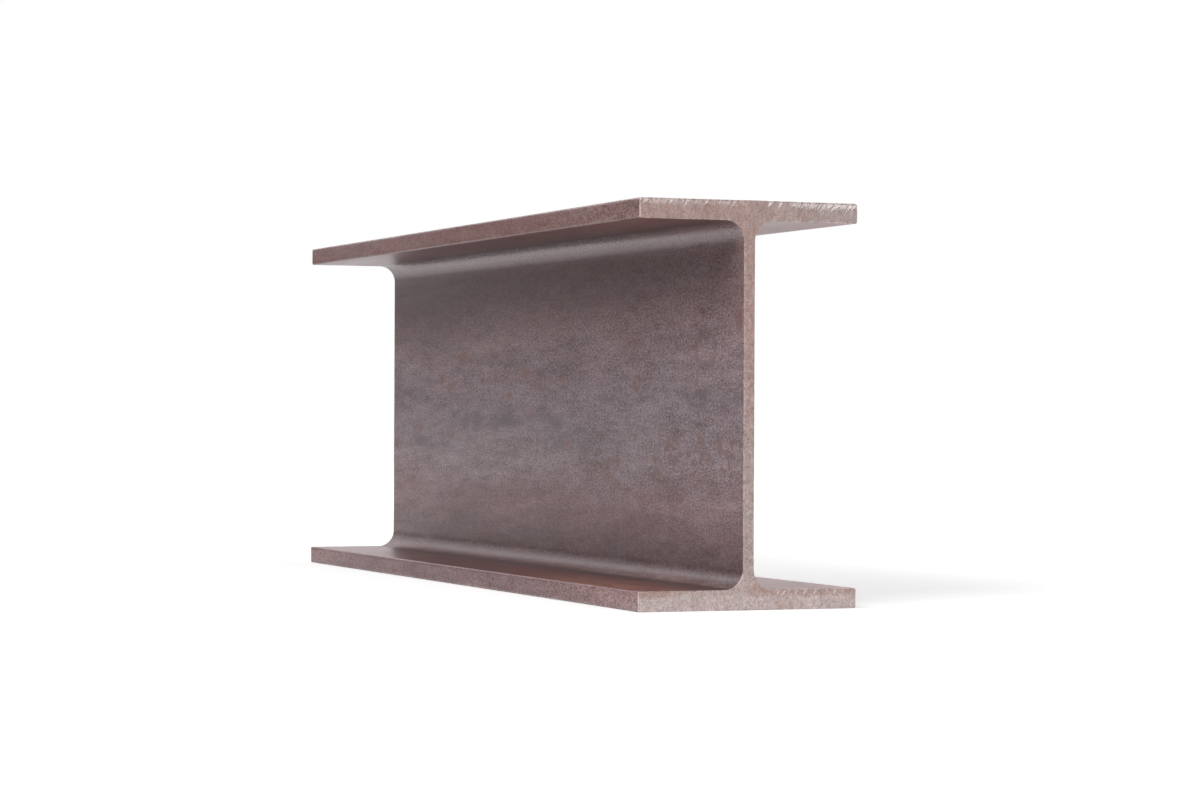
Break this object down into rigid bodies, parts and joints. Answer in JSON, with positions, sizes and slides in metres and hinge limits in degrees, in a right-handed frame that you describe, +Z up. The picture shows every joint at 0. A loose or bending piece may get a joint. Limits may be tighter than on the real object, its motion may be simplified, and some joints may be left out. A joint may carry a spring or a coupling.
{
  "type": "steel i-beam",
  "caption": "Short sawn length of hot-rolled steel I-beam with parallel flanges and rounded web roots, for carrying bending loads.",
  "frame": {"origin": "underside of the bottom flange, in the middle of the beam's length and width", "axes": "+X along the beam, +Y across the flanges, +Z up from the bottom flange to the top flange"},
  "size_m": [0.42, 0.0886, 0.1524],
  "materials": {
    "mill_scale_steel": "hot-rolled mill scale with a light rust bloom, bare sawn ends"
  },
  "bodies": {
    "root": {"i_beam": "mill_scale_steel"}
  },
  "joints": []
}
